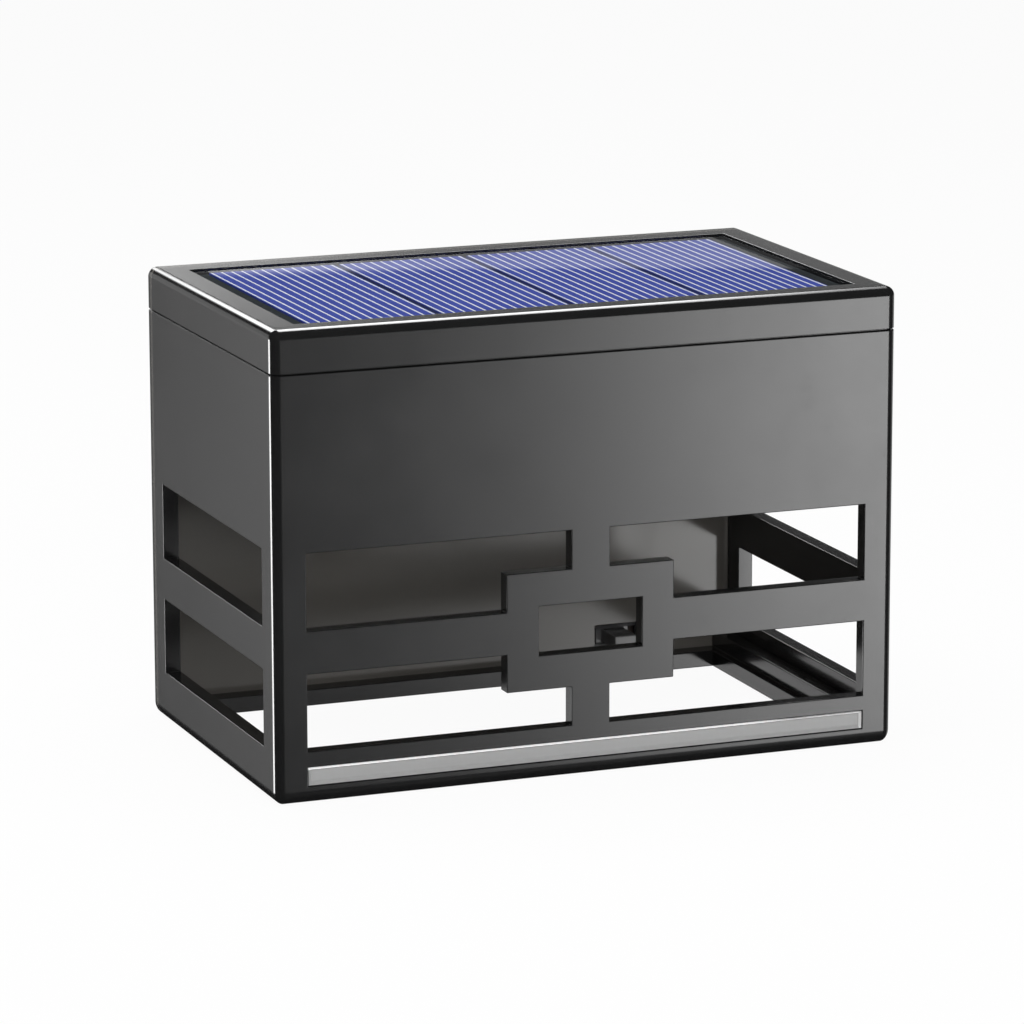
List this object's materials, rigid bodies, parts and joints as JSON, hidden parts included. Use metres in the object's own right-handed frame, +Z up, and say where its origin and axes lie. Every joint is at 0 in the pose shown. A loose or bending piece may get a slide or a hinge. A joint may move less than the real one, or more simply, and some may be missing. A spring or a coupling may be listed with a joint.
{
  "type": "solar fence light",
  "caption": "Box-shaped solar fence light with stepped fretwork windows, an open foot, a solar panel in its lid, a light bar and a slide switch.",
  "frame": {"origin": "middle of the bottom of the light's outer box, on the plane that its foot rests on", "axes": "+X across the front to the right as seen from the front, +Y from the fretwork front to the back cover, +Z up"},
  "size_m": [0.12, 0.0766, 0.0855],
  "materials": {
    "housing_black": "injection-moulded ABS, satin gloss, very fine mould texture",
    "light_grey_bar": "frosted light-guide plastic, pale grey when unlit",
    "solar_blue": "polycrystalline silicon cell with silver finger lines",
    "solar_clear": "clear poured resin, glossy",
    "board_dark": "dark glass-fibre backing board",
    "board_green": "green solder resist",
    "tray_white": "plain white moulded plastic",
    "lens_frost": "frosted translucent plastic",
    "seal_rubber": "soft black rubber",
    "chip_yellow": "light chip with a phosphor window",
    "chip_black": "moulded component body",
    "coil_copper": "enamelled copper winding",
    "socket_ivory": "ivory moulded connector",
    "battery_sleeve": "plain green shrink sleeve",
    "contact_steel": "plated spring steel",
    "screw_steel": "zinc-plated steel",
    "switch_dark": "dark switch cover, dull",
    "switch_brown": "phenolic base board",
    "knob_black": "moulded knob, satin gloss",
    "wire_red": "red wire insulation",
    "wire_black": "black wire insulation"
  },
  "bodies": {
    "root": {"housing": "housing_black", "bottom_frame": "housing_black", "light_bar": "light_grey_bar", "lid": "housing_black", "lid_seal": "seal_rubber", "solar_board": "board_dark", "solar_cover": "solar_clear", "solar_cell_1": "solar_blue", "solar_cell_2": "solar_blue", "solar_cell_3": "solar_blue", "solar_cell_4": "solar_blue", "light_tray": "tray_white", "light_lens": "lens_frost", "light_board": "socket_ivory", "light_chip_1": "chip_yellow", "light_chip_2": "chip_yellow", "light_chip_3": "chip_yellow", "light_chip_4": "chip_yellow", "light_chip_5": "chip_yellow", "circuit_board": "board_green", "driver_chip": "chip_black", "inductor": "coil_copper", "capacitor": "chip_black", "wire_sockets": "socket_ivory", "battery": "battery_sleeve", "battery_plate": "contact_steel", "battery_spring": "contact_steel", "switch_can": "switch_dark", "switch_base": "switch_brown", "switch_board": "board_green", "back_cover": "housing_black", "wire_grommet": "seal_rubber", "lid_screws": "screw_steel", "light_board_screws": "screw_steel", "circuit_board_screws": "screw_steel", "switch_screws": "screw_steel", "cover_screws": "screw_steel", "solar_lead_red": "wire_red", "solar_lead_black": "wire_black", "battery_lead_red": "wire_red", "battery_lead_black": "wire_black", "light_lead_red": "wire_red", "light_lead_black": "wire_black", "switch_lead_red": "wire_red", "switch_lead_black": "wire_black"},
    "knob": {"switch_knob": "knob_black"}
  },
  "joints": [
    {"name": "switch_slide", "type": "slide", "parent": "root", "child": "knob", "axis": [1, 0, 0], "range_m": [-0.002, 0.002]}
  ]
}
